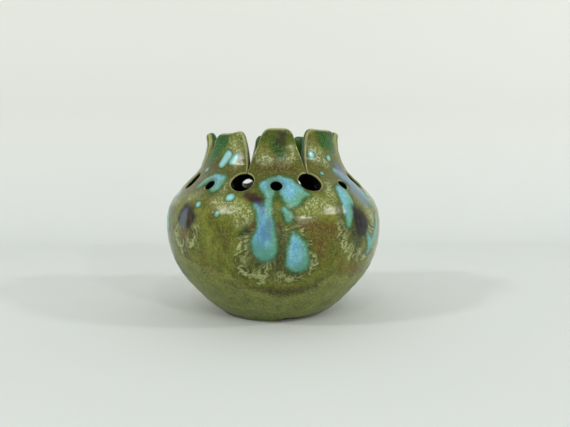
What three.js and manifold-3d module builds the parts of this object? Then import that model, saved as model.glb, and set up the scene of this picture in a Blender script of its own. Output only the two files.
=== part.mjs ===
// Flower frog: a small thrown stoneware pot that holds cut stems upright. Its belly is the water
// chamber, the closed-in shoulder is pierced by a row of large and a row of small stem holes, and
// the collar above it is cut by V slits into petals, each slit running down into a large hole.
//
// Millimetres, +Z up. The origin is under the pot's axis, on the surface that the pot stands on.
// Bearings are degrees round the axis: 0 is the front, on -Y, and they grow towards +X.
//
// The pot is divided where a potter forms it: bowl, shoulder, the petals of the collar and the
// lobes of the foot. Each is one closed solid, and neighbours stay a small gap apart.

import * as THREE from "three";
import { mergeVertices } from "three/addons/utils/BufferGeometryUtils.js";
import Module from "manifold-3d";

const wasm = await Module();
wasm.setup();

// ---- Driving dimensions --------------------------------------------------------------------------

const GAP = 0.3;
const WALL = 4.6;

const HEIGHT = 87;
const BELLY_RADIUS = 52;
const BELLY_HEIGHT = 44;
const LOBE_HEIGHT = 1.4;
const UNDERSIDE_HEIGHT = LOBE_HEIGHT + GAP;
const FOOT_RADIUS = 27.9;
const NECK_RADIUS = 32;
const COLLAR_HEIGHT = 68.7; // where the V slits end and the petals begin

// Outside of the wall, as (radius, height), from the edge of the foot to the tips of the petals.
const WALL_OUTLINE = [
  [FOOT_RADIUS, UNDERSIDE_HEIGHT],
  [35.9, 8.8],
  [45.4, 20],
  [50.6, 31.5],
  [BELLY_RADIUS, BELLY_HEIGHT],
  [49.8, 53.4],
  [43.4, 61.2],
  [36.3, COLLAR_HEIGHT],
  [33.0, 76],
  [NECK_RADIUS, 82],
  [32.7, HEIGHT],
];

// Floor and underside of the bowl.
const FLOOR_HEIGHT = 8.4;
const FLOOR_RADIUS = 21;
const FLOOR_CORNER_RADIUS = 27;
const WALL_FOOT_HEIGHT = 9.5; // the inside of the wall starts behind this height of its outside
const RECESS_RADIUS = 18;
const RECESS_SLOPE = 2;
const RECESS_DEPTH = 1.5;

// Stem holes, bored square to the wall.
const LARGE_HOLE = { radius: 5.25, height: 64.0 };
const SMALL_HOLE = { radius: 2.5, height: 62.6 };
const SLIT_WIDTH = 0.6; // where a slit enters its large hole

// Lobes of the foot.
const LOBE_OUTER_RADIUS = 25.6;
const LOBE_INNER_RADIUS = 19;
const LOBE_ARC = 34;
const LOBE_BEARINGS = { foot_front: -13, foot_right: 107, foot_left: 227 };

// The collar was cut by hand, so no two petals are alike. `slit` is the bearing of the slit on the
// petal's lower-bearing side, and of the large hole under it; the petal ends at the next one's slit.
// `tip` is the span of its top edge, `hole` its small hole, `dip` how far the top edge sags in the
// middle, and `drop` how far its tips stay below the full height.
const PETALS = [
  { name: "petal_front", slit: -18, tip: [-6.5, 16.4], hole: 2.2, dip: 0, drop: 0.3 },
  { name: "petal_front_right", slit: 23.5, tip: [31, 62], hole: 48, dip: 0.9, drop: 0 },
  { name: "petal_right", slit: 72, tip: [80, 106], hole: 95, dip: 0, drop: 0.3 },
  { name: "petal_back_right", slit: 118, tip: [125, 156], hole: 140, dip: 0.7, drop: 0 },
  { name: "petal_back", slit: 163, tip: [169.5, 196], hole: 184, dip: 0, drop: 0.2 },
  { name: "petal_back_left", slit: 201.5, tip: [211, 240], hole: 226, dip: 0.6, drop: 0.3 },
  { name: "petal_left", slit: 248, tip: [261, 288], hole: 270, dip: 0.6, drop: 0.4 },
  { name: "petal_front_left", slit: 292.5, tip: [308, 335], hole: 318, dip: 0.9, drop: 0.8 },
];
const PETAL_CORNER = 2.6; // radius of a petal's top corners
const LIP_CURVE = 1.5; // above 1, a slit opens slowly at first and faster towards the tips

// Fineness of the faceted surfaces.
const TURN_STEPS = 64;
const BOWL_STEPS = 9;
const SHOULDER_STEPS = 5;
const FLOOR_STEPS = 3;
const LARGE_HOLE_SIDES = 20;
const SMALL_HOLE_SIDES = 12;
const PETAL_STEPS = { across: 8, up: 6, through: 1 };
const LOBE_STEPS = { across: 8, up: 1, through: 1 };

// ---- Materials -----------------------------------------------------------------------------------

const glaze = new THREE.MeshStandardMaterial({ color: 0x6f7336, roughness: 0.3, metalness: 0 });
const collarGlaze = new THREE.MeshStandardMaterial({ color: 0x5f6f33, roughness: 0.22, metalness: 0 });
const footGlaze = new THREE.MeshStandardMaterial({ color: 0x656338, roughness: 0.5, metalness: 0 });

// ---- The wall ------------------------------------------------------------------------------------

const wallCurve = new THREE.SplineCurve(WALL_OUTLINE.map(([r, z]) => new THREE.Vector2(r, z)));

// The place along the wall curve, 0 to 1, whose outside is at the given height.
function placeAtHeight(height) {
  let low = 0;
  let high = 1;
  while (high - low > 1e-6) {
    const middle = (low + high) / 2;
    if (wallCurve.getPoint(middle).y < height) {
      low = middle;
    } else {
      high = middle;
    }
  }
  return (low + high) / 2;
}

// The (radius, height) of a point `depth` below the outside of the wall, square to it.
function wallPoint(place, depth) {
  const outside = wallCurve.getPoint(place);
  const upward = wallCurve.getTangent(place);
  return new THREE.Vector2(outside.x - upward.y * depth, outside.y + upward.x * depth);
}

function wallRow(fromHeight, toHeight, steps, depth) {
  const from = placeAtHeight(fromHeight);
  const to = placeAtHeight(toHeight);
  return Array.from({ length: steps + 1 }, (_, i) => wallPoint(from + ((to - from) * i) / steps, depth));
}

// A frame on the middle of the wall: x runs round the pot, y up the wall and z straight out of it.
function wallFrame(bearing, height) {
  const place = placeAtHeight(height);
  const middle = wallPoint(place, WALL / 2);
  const upward = wallCurve.getTangent(place);
  const angle = THREE.MathUtils.degToRad(bearing);
  const outward = new THREE.Vector3(Math.sin(angle), -Math.cos(angle), 0);
  const sideways = new THREE.Vector3(Math.cos(angle), Math.sin(angle), 0);
  const upWall = outward.clone().multiplyScalar(upward.x).setZ(upward.y);
  const outOfWall = new THREE.Vector3().crossVectors(sideways, upWall);
  const origin = outward.clone().multiplyScalar(middle.x).setZ(middle.y);
  return new THREE.Matrix4().makeBasis(sideways, upWall, outOfWall).setPosition(origin);
}

// ---- Solids --------------------------------------------------------------------------------------

// One closed surface: shared vertices merged, and the faces that collapse on the axis left out.
function closed(geometry) {
  const bare = geometry.clone();
  bare.deleteAttribute("normal");
  bare.deleteAttribute("uv");
  const merged = mergeVertices(bare, 1e-4);
  const index = Array.from(merged.index.array);
  const kept = [];
  for (let i = 0; i < index.length; i += 3) {
    const [a, b, c] = index.slice(i, i + 3);
    if (a !== b && b !== c && c !== a) {
      kept.push(a, b, c);
    }
  }
  merged.setIndex(kept);
  return merged;
}

function toManifold(geometry) {
  const surface = closed(geometry);
  const vertProperties = new Float32Array(surface.attributes.position.array);
  const triVerts = new Uint32Array(surface.index.array);
  return new wasm.Manifold(new wasm.Mesh({ numProp: 3, vertProperties, triVerts }));
}

function fromManifold(manifold) {
  const { vertProperties, triVerts } = manifold.getMesh();
  const geometry = new THREE.BufferGeometry();
  geometry.setAttribute("position", new THREE.BufferAttribute(vertProperties, 3));
  geometry.setIndex(Array.from(triVerts));
  return geometry;
}

// A profile of (radius, height) points turned round the pot's axis.
function turned(profile) {
  return new THREE.LatheGeometry(profile, TURN_STEPS).rotateX(Math.PI / 2);
}

// A box whose x, y and z, each -0.5 to 0.5, are bent by place(x, y, z) -> {bearing, radius, height}.
function bentBox(steps, place) {
  const geometry = new THREE.BoxGeometry(1, 1, 1, steps.across, steps.up, steps.through);
  const position = geometry.attributes.position;
  for (let i = 0; i < position.count; i += 1) {
    const { bearing, radius, height } = place(position.getX(i), position.getY(i), position.getZ(i));
    const angle = THREE.MathUtils.degToRad(bearing);
    position.setXYZ(i, radius * Math.sin(angle), -radius * Math.cos(angle), height);
  }
  return geometry;
}

function bowlGeometry() {
  const outside = wallRow(UNDERSIDE_HEIGHT, BELLY_HEIGHT, BOWL_STEPS, 0);
  const inside = wallRow(WALL_FOOT_HEIGHT, BELLY_HEIGHT, BOWL_STEPS, WALL);
  const floorCorner = new THREE.QuadraticBezierCurve(
    new THREE.Vector2(FLOOR_RADIUS, FLOOR_HEIGHT),
    new THREE.Vector2(FLOOR_CORNER_RADIUS, FLOOR_HEIGHT),
    inside[0],
  ).getPoints(FLOOR_STEPS);
  const recessHeight = UNDERSIDE_HEIGHT + RECESS_DEPTH;
  return turned([
    new THREE.Vector2(0, recessHeight),
    new THREE.Vector2(RECESS_RADIUS - RECESS_SLOPE, recessHeight),
    new THREE.Vector2(RECESS_RADIUS, UNDERSIDE_HEIGHT),
    ...outside,
    ...inside.slice(1).reverse(),
    ...floorCorner.reverse(),
    new THREE.Vector2(0, FLOOR_HEIGHT),
  ]);
}

function stemHole({ radius, height }, bearing, sides) {
  const bore = new THREE.CylinderGeometry(radius, radius, 4 * WALL, sides).rotateX(Math.PI / 2);
  return toManifold(bore.applyMatrix4(wallFrame(bearing, height)));
}

// The end of a V slit: a narrow cut from the middle of the large hole up through the rim above it.
function slitEnd(bearing) {
  const length = 4 * LARGE_HOLE.radius;
  const cut = new THREE.BoxGeometry(SLIT_WIDTH, length, 4 * WALL).translate(0, length / 2, 0);
  return toManifold(cut.applyMatrix4(wallFrame(bearing, LARGE_HOLE.height)));
}

function shoulderGeometry() {
  const outside = wallRow(BELLY_HEIGHT + GAP, COLLAR_HEIGHT - GAP, SHOULDER_STEPS, 0);
  const inside = wallRow(BELLY_HEIGHT + GAP, COLLAR_HEIGHT - GAP, SHOULDER_STEPS, WALL);
  let shoulder = toManifold(turned([...outside, ...inside.reverse(), outside[0]]));
  for (const petal of PETALS) {
    shoulder = shoulder
      .subtract(stemHole(LARGE_HOLE, petal.slit, LARGE_HOLE_SIDES))
      .subtract(stemHole(SMALL_HOLE, petal.hole, SMALL_HOLE_SIDES))
      .subtract(slitEnd(petal.slit));
  }
  return fromManifold(shoulder);
}

// Petals narrow from the slits beside them to their level tips, with rounded top corners. They
// start square to the wall, on the shoulder's rim.
function petalGeometry(petal, nextSlit) {
  const slitHalfArc = THREE.MathUtils.radToDeg(SLIT_WIDTH / 2 / NECK_RADIUS);
  const base = [petal.slit + slitHalfArc, nextSlit - slitHalfArc];
  const tipWidth = THREE.MathUtils.degToRad(petal.tip[1] - petal.tip[0]) * NECK_RADIUS;
  const from = placeAtHeight(COLLAR_HEIGHT);
  return bentBox(PETAL_STEPS, (x, y, z) => {
    const across = 0.5 + 0.5 * Math.sin(x * Math.PI);
    const up = y + 0.5;
    const fromSide = Math.min(across, 1 - across) * tipWidth;
    const intoCorner = Math.max(0, 1 - fromSide / PETAL_CORNER);
    const cornerDrop = PETAL_CORNER * (1 - Math.sqrt(1 - intoCorner ** 2));
    const sag = petal.dip * Math.sin(Math.PI * across) ** 2;
    const tipHeight = HEIGHT - petal.drop - cornerDrop - sag;
    const place = from + (placeAtHeight(tipHeight) - from) * up;
    const opened = up ** LIP_CURVE;
    const low = THREE.MathUtils.lerp(base[0], petal.tip[0], opened);
    const high = THREE.MathUtils.lerp(base[1], petal.tip[1], opened);
    const outside = wallPoint(place, 0);
    const point = wallPoint(place, (0.5 - z) * WALL);
    return {
      bearing: THREE.MathUtils.lerp(low, high, across),
      radius: point.x,
      height: THREE.MathUtils.lerp(point.y, outside.y, up),
    };
  });
}

function lobeGeometry(bearing) {
  return bentBox(LOBE_STEPS, (x, y, z) => ({
    bearing: bearing + x * LOBE_ARC,
    radius: THREE.MathUtils.lerp(LOBE_INNER_RADIUS, LOBE_OUTER_RADIUS, z + 0.5),
    height: (y + 0.5) * LOBE_HEIGHT,
  }));
}

// ---- The pot -------------------------------------------------------------------------------------

function named(name, geometry, material) {
  const mesh = new THREE.Mesh(closed(geometry), material);
  mesh.name = name;
  return mesh;
}

const pot = new THREE.Group();
pot.name = "flower_frog";
pot.add(named("bowl", bowlGeometry(), glaze));
pot.add(named("shoulder", shoulderGeometry(), glaze));

const collar = new THREE.Group();
collar.name = "collar";
PETALS.forEach((petal, i) => {
  const nextSlit = i + 1 < PETALS.length ? PETALS[i + 1].slit : PETALS[0].slit + 360;
  collar.add(named(petal.name, petalGeometry(petal, nextSlit), collarGlaze));
});
pot.add(collar);

const foot = new THREE.Group();
foot.name = "foot";
for (const [name, bearing] of Object.entries(LOBE_BEARINGS)) {
  foot.add(named(name, lobeGeometry(bearing), footGlaze));
}
pot.add(foot);

export default pot;
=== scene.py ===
"""Looks for the flower frog: a thrown stoneware pot, its shoulder pierced and its collar cut in petals.

The pot's wall is one continuous surface, worked out here in millimetres and then divided into one
piece for each CAD node. Bearings are degrees round the pot's axis: 0 is the front, on -Y, and they
grow towards +X. A point of the wall is given by its bearing, its climb (the distance up the outside
of the wall, 0 at the widest line of the belly) and its depth below the outside.
"""

import math
from dataclasses import dataclass

import bpy
import numpy as np
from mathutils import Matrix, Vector
from mathutils.geometry import delaunay_2d_cdt
from mathutils.kdtree import KDTree


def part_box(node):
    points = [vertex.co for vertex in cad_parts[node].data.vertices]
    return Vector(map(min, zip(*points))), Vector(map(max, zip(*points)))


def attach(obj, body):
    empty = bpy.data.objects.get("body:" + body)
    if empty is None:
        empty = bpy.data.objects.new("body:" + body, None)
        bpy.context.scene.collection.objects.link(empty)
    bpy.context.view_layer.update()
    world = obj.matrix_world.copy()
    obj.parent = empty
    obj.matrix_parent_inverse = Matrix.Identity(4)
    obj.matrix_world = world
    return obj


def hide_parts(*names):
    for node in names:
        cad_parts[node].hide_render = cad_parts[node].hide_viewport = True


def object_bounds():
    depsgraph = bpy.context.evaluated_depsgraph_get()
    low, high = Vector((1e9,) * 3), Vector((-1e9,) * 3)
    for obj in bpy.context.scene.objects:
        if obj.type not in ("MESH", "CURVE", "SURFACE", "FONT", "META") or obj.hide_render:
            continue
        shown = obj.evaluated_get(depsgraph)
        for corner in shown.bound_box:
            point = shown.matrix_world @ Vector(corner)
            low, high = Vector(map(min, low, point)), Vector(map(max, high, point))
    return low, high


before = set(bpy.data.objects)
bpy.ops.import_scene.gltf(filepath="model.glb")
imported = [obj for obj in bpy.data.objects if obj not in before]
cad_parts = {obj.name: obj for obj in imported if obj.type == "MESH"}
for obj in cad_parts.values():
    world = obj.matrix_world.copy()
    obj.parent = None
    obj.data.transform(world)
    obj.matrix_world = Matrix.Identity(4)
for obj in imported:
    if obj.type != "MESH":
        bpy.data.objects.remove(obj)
cad_low, cad_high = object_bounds()

MM = 0.001
rng = np.random.default_rng(7)

# ---- Sizes, in millimetres ----

HEIGHT = cad_high.z / MM
BELLY_RADIUS = cad_high.x / MM
BELLY_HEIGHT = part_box("bowl")[1].z / MM

WALL = 4.6
EDGE = 0.6  # radius of the cut edges, which grows to TIP_EDGE at the tips of the petals
TIP_EDGE = 1.8
NOTCH_HEIGHT = 1.8  # underside of the foot between its lobes

WALL_OUTLINE = [
    (25.8, 0.35), (27.7, 1.8), (30.6, 4), (35.9, 8.8), (45.4, 20), (50.6, 31.5),
    (BELLY_RADIUS, BELLY_HEIGHT), (49.8, 53.4), (43.4, 61.2), (36.3, 68.7), (33, 76),
    (32, 82), (32.7, HEIGHT),
]
FOOT_OUTLINE = [(25.8, 0.35), (24.6, 0), (22.5, 0), (20.3, 0), (19.2, 0.8), (18.2, 2.3),
                (15, 3.2), (9, 3.3), (0, 3.3)]
INSIDE_OUTLINE = [(BELLY_RADIUS - WALL, BELLY_HEIGHT), (45.9, 32.5), (41, 21.5), (34, 13.4),
                  (25.5, 9.5), (14, 8.5), (0, 8.2)]

LARGE_HOLE_RADIUS = 5.2
LARGE_HOLE_HEIGHT = 64.0
SMALL_HOLE_RADIUS = 2.6
SMALL_HOLE_HEIGHT = 62.6
SLIT_END = 1.0  # from the top of a large hole to where its slit begins to open
SLIT_HALF_WIDTH = 0.16
LIP_CURVE = 1.5  # above 1, a slit opens slowly at first and faster towards the tips


@dataclass
class Petal:
    """A petal of the collar, with the cut on its lower-bearing side. No two were cut alike."""

    name: str
    slit: float  # bearings of the slit, of the large hole under it, and of the petal's small hole
    hole: float
    small: float
    tip: tuple  # span of the top edge
    top: tuple  # how far its two ends and its middle are above the full height
    radius: float = LARGE_HOLE_RADIUS
    corner: float = 3.4  # how far from a corner of the tip its rounding begins


COLLAR = [
    Petal("petal_front", -17.3, -18.7, 2.1, (-6.5, 16.4), (-0.4, -0.3, -0.4)),
    Petal("petal_front_right", 24.0, 23.4, 48.3, (31, 62), (0.1, -0.3, 0.2)),
    Petal("petal_right", 72.3, 72.0, 95.0, (80, 106), (0.2, -0.3, -0.2), corner=5.5),
    Petal("petal_back_right", 117.6, 118.0, 140.5, (125, 156), (-0.2, -1.2, -0.5)),
    Petal("petal_back", 163.4, 163.0, 184.0, (169.5, 196), (-0.5, -0.2, -0.1)),
    Petal("petal_back_left", 201.4, 201.0, 226.5, (211, 240), (-0.2, -1.0, -0.6), radius=3.9),
    Petal("petal_left", 248.2, 248.0, 270.0, (261, 288), (-0.4, -0.9, -0.4), corner=6.5),
    Petal("petal_front_left", 292.4, 292.5, 319.0, (308, 335), (-1.6, -2.0, -0.9)),
]
NEXT_CUTS = COLLAR[1:] + COLLAR[:1]  # for each petal, the one whose cut ends it
LOBES = {"foot_front": -13.0, "foot_right": 107.0, "foot_left": 227.0}
LOBE_HALF_ARC = 17.0
RIM_OF_RECESS = 17.0  # the underside further in is the recess, which no lobe reaches

# How the hand-thrown pot differs from a true one.
LEAN = 1.3  # how far the foot sits to the right of the rim
OVAL = 0.25
THREE_SIDED = 0.15
SHRINK = 0.0035  # a share of its width, so that its swellings stay inside the CAD's box
RING_DEPTH = 0.05
RING_SPACING = 5.4
RUN_THICKNESS = 0.2

# Fineness of the mesh.
BELLY_COLUMNS = 320
BELLY_BEARINGS = np.arange(BELLY_COLUMNS) * 360 / BELLY_COLUMNS
POINT_SPACING = 0.95
EDGE_SPACING = 0.45
FOOT_SPACING = 0.55
INSIDE_SPACING = 1.2
EDGE_ROWS = 4
CUT_ROWS = 2
CLEAR_OF_PARTING = 0.25
CROWDED = 0.93  # an edge point closer to a cut than this share of its row's distance is left out

# The studio, in metres.
FLOOR_SIZE = 2.0
FLOOR_BACK = 0.22  # where the floor begins to curve up into the wall
FLOOR_BEND = 0.14
LIGHT_DISTANCE = 1.5
LIGHT_TARGET = Vector((0, 0, 0.05))
CAMERA_PLACE = (0, -0.2715, 0.0702)
CAMERA_PITCH = -4.83  # degrees up from level
CAMERA_YAW = -1.2
CAMERA_LENS = 34.74


# ---- The wall's outline ----

def spline(points, steps=60):
    """A smooth line through the points (Catmull-Rom), with this many steps between neighbours."""
    points = np.array(points, float)
    padded = np.vstack([points[:1], points, points[-1:]])
    t = np.linspace(0, 1, steps, endpoint=False)[:, None]
    spans = []
    for a, b, c, d in zip(padded, padded[1:], padded[2:], padded[3:]):
        curve = 2 * a - 5 * b + 4 * c - d + t * (3 * (b - c) + d - a)
        spans.append(b + 0.5 * t * (c - a + t * curve))
    return np.vstack(spans + [points[-1:]])


def smooth_step(low, high, value):
    t = np.clip((value - low) / (high - low), 0, 1)
    return t * t * (3 - 2 * t)


def distances(line):
    steps = np.linalg.norm(np.diff(line, axis=0), axis=1)
    return np.concatenate([[0.0], np.cumsum(steps)])


wall_line = spline(WALL_OUTLINE)
wall_climb = distances(wall_line)
wall_climb -= np.interp(BELLY_HEIGHT, wall_line[:, 1], wall_climb)
wall_slope = np.gradient(wall_line, wall_climb, axis=0)
wall_slope /= np.linalg.norm(wall_slope, axis=1)[:, None]

# The wall is drawn on a flat plane without stretching shapes: bearing is the angle round the plane's
# origin, and a higher climb is further out. Its scale, in mm per unit, only changes from ring to ring.
plane_steps = np.diff(wall_climb) * 2 / (wall_line[1:, 0] + wall_line[:-1, 0])
plane_log = np.concatenate([[0.0], np.cumsum(plane_steps)])
plane_log -= np.interp(0.0, wall_climb, plane_log)


def climb_at(height):
    return np.interp(height, wall_line[:, 1], wall_climb)


def radius_at(climb):
    return np.interp(climb, wall_climb, wall_line[:, 0])


def height_at(climb):
    return np.interp(climb, wall_climb, wall_line[:, 1])


def plane_radius(climb):
    return np.exp(np.interp(climb, wall_climb, plane_log))


def to_plane(bearing, climb):
    out = plane_radius(climb)
    return np.stack([out * np.cos(np.radians(bearing)), out * np.sin(np.radians(bearing))], axis=-1)


def from_plane(points):
    out = np.linalg.norm(points, axis=-1)
    bearing = np.degrees(np.arctan2(points[..., 1], points[..., 0]))
    return bearing, np.interp(np.log(out), plane_log, wall_climb)


def plane_scale(climb):
    """Millimetres per unit of the plane."""
    return radius_at(climb) / plane_radius(climb)


def turn_from(middle, bearing):
    """How far the bearing is past the middle, from -180 to 180."""
    return (bearing - middle + 180) % 360 - 180


def turned(bearing, radius, height):
    """The point at this bearing, and this far from the axis."""
    angle = np.radians(bearing)
    return np.stack([radius * np.sin(angle), -radius * np.cos(angle), height], axis=-1)


def in_wall(bearing, climb, depth):
    """The points this deep below the outside of the wall."""
    up_radius = np.interp(climb, wall_climb, wall_slope[:, 0])
    up_height = np.interp(climb, wall_climb, wall_slope[:, 1])
    radius = radius_at(climb) - up_height * depth
    height = height_at(climb) + up_radius * depth
    return turned(bearing, radius, height)


# ---- Outlines of the cuts ----

HOLE_CLIMB = climb_at(LARGE_HOLE_HEIGHT)
SLIT_CLIMB = HOLE_CLIMB + LARGE_HOLE_RADIUS + SLIT_END
SLIT_HALF_ARC = math.degrees(SLIT_HALF_WIDTH / radius_at(SLIT_CLIMB))


def resampled(bearing, climb, spacing):
    """The same line with points this many mm apart, without its last point."""
    middle = (climb[1:] + climb[:-1]) / 2
    round_pot = np.radians(np.diff(bearing)) * radius_at(middle)
    along = np.concatenate([[0.0], np.cumsum(np.hypot(round_pot, np.diff(climb)))])
    count = max(2, int(round(along[-1] / spacing)))
    at = np.linspace(0, along[-1], count, endpoint=False)
    return np.interp(at, along, bearing), np.interp(at, along, climb)


def wobbly_circle(bearing, climb, radius, angles, seed):
    """Points round a hand-bored hole. Angle 0 is its top, and angles grow towards higher bearings."""
    a, b = np.random.default_rng(seed).uniform(0, math.tau, 2)
    rim = radius * (1 + 0.025 * np.sin(2 * angles + a) + 0.012 * np.sin(3 * angles + b))
    rise = rim * np.cos(angles)
    around = rim * np.sin(angles)
    return bearing + np.degrees(around / radius_at(climb + rise)), climb + rise


def rounded_corner(before, after, reach):
    """Two joined lines as one, its corner rounded off from this many mm away."""
    corner = before[-1]
    scale = np.array([math.radians(1) * radius_at(corner[1]), 1.0])
    before = before[np.linalg.norm((before - corner) * scale, axis=1) > reach]
    after = after[np.linalg.norm((after - corner) * scale, axis=1) > reach]
    t = np.linspace(0, 1, 14)[1:-1, None]
    bend = (1 - t) ** 2 * before[-1] + 2 * t * (1 - t) * corner + t ** 2 * after[0]
    return np.vstack([before, bend, after])


def petal_outline(petal, next_slit):
    """Up one lip of the petal, across its tip, and down the other lip."""
    left, middle, right = (climb_at(HEIGHT + top) for top in petal.top)
    up = np.linspace(0, 1, 60)
    opened = up ** LIP_CURVE
    first, last = petal.tip
    rise = np.column_stack([petal.slit + SLIT_HALF_ARC + (first - petal.slit - SLIT_HALF_ARC) * opened,
                            SLIT_CLIMB + (left - SLIT_CLIMB) * up])
    fall = np.column_stack([next_slit - SLIT_HALF_ARC + (last - next_slit + SLIT_HALF_ARC) * opened,
                            SLIT_CLIMB + (right - SLIT_CLIMB) * up])[::-1]
    tip_climb = left * (1 - up) * (1 - 2 * up) + 4 * middle * up * (1 - up) + right * up * (2 * up - 1)
    tip = np.column_stack([first + (last - first) * up, tip_climb])
    line = rounded_corner(rounded_corner(rise, tip, petal.corner), fall, petal.corner)
    return resampled(line[:, 0], line[:, 1], EDGE_SPACING)


def hole_outline(cut, seed):
    """From one lip of a slit down round its large hole and up to the other lip."""
    offset = math.radians(cut.slit - cut.hole) * radius_at(SLIT_CLIMB)
    start = math.asin((offset - SLIT_HALF_WIDTH) / cut.radius)
    end = math.asin((offset + SLIT_HALF_WIDTH) / cut.radius)
    angles = np.linspace(start, end - math.tau, 120)
    bearing, climb = wobbly_circle(cut.hole, HOLE_CLIMB, cut.radius, angles, seed)
    bearing = np.concatenate([[cut.slit - SLIT_HALF_ARC], bearing, [cut.slit + SLIT_HALF_ARC]])
    climb = np.concatenate([[SLIT_CLIMB], climb, [SLIT_CLIMB]])
    return resampled(bearing, climb, EDGE_SPACING)


# ---- The sheet: shoulder and petals, drawn on the plane ----

def collar_outline():
    """The whole upper boundary, and for each petal the numbers of its first and last points."""
    bearings, climbs, ends = [], [], []
    count = 0
    for i, (petal, cut) in enumerate(zip(COLLAR, NEXT_CUTS)):
        turn = 360 if cut is COLLAR[0] else 0
        bearing, climb = petal_outline(petal, cut.slit + turn)
        around, below = hole_outline(cut, seed=i)
        bearings += [bearing, around + turn]
        climbs += [climb, below]
        ends.append((count, count + len(bearing)))
        count += len(bearing) + len(around)
    return to_plane(np.concatenate(bearings), np.concatenate(climbs)), ends


def small_hole(petal, seed):
    angles = np.linspace(math.tau, 0, 120)
    climb = climb_at(SMALL_HOLE_HEIGHT)
    bearing, climb = wobbly_circle(petal.small, climb, SMALL_HOLE_RADIUS, angles, seed)
    return to_plane(*resampled(bearing, climb, EDGE_SPACING * 0.8))


def pairs(line, closed=True):
    """Each item with the next one, and the last with the first if the line is closed."""
    line = list(line)
    return list(zip(line, line[1:] + line[:1])) if closed else list(zip(line, line[1:]))


def inward(loop):
    """Unit normals of a closed line on the plane, to its left, where the clay is."""
    along = np.roll(loop, -1, axis=0) - np.roll(loop, 1, axis=0)
    along /= np.linalg.norm(along, axis=1)[:, None]
    return np.column_stack([-along[:, 1], along[:, 0]])


def edge_radius(climb):
    """Radius of the rounding of a cut edge at this climb."""
    return EDGE + (TIP_EDGE - EDGE) * smooth_step(74.0, 85.0, height_at(climb))


def edge_row_distance(row, radius):
    """How far from the cut edge the rows that shape its rounding lie."""
    return radius * (1 - math.cos(math.pi / 2 * row / EDGE_ROWS))


def edge_depth(distance, radius):
    """How far the rounding of a cut edge drops below the wall's face, this far from the edge."""
    short = np.clip(radius - distance, 0, radius)
    return radius - np.sqrt(radius ** 2 - short ** 2)


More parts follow.
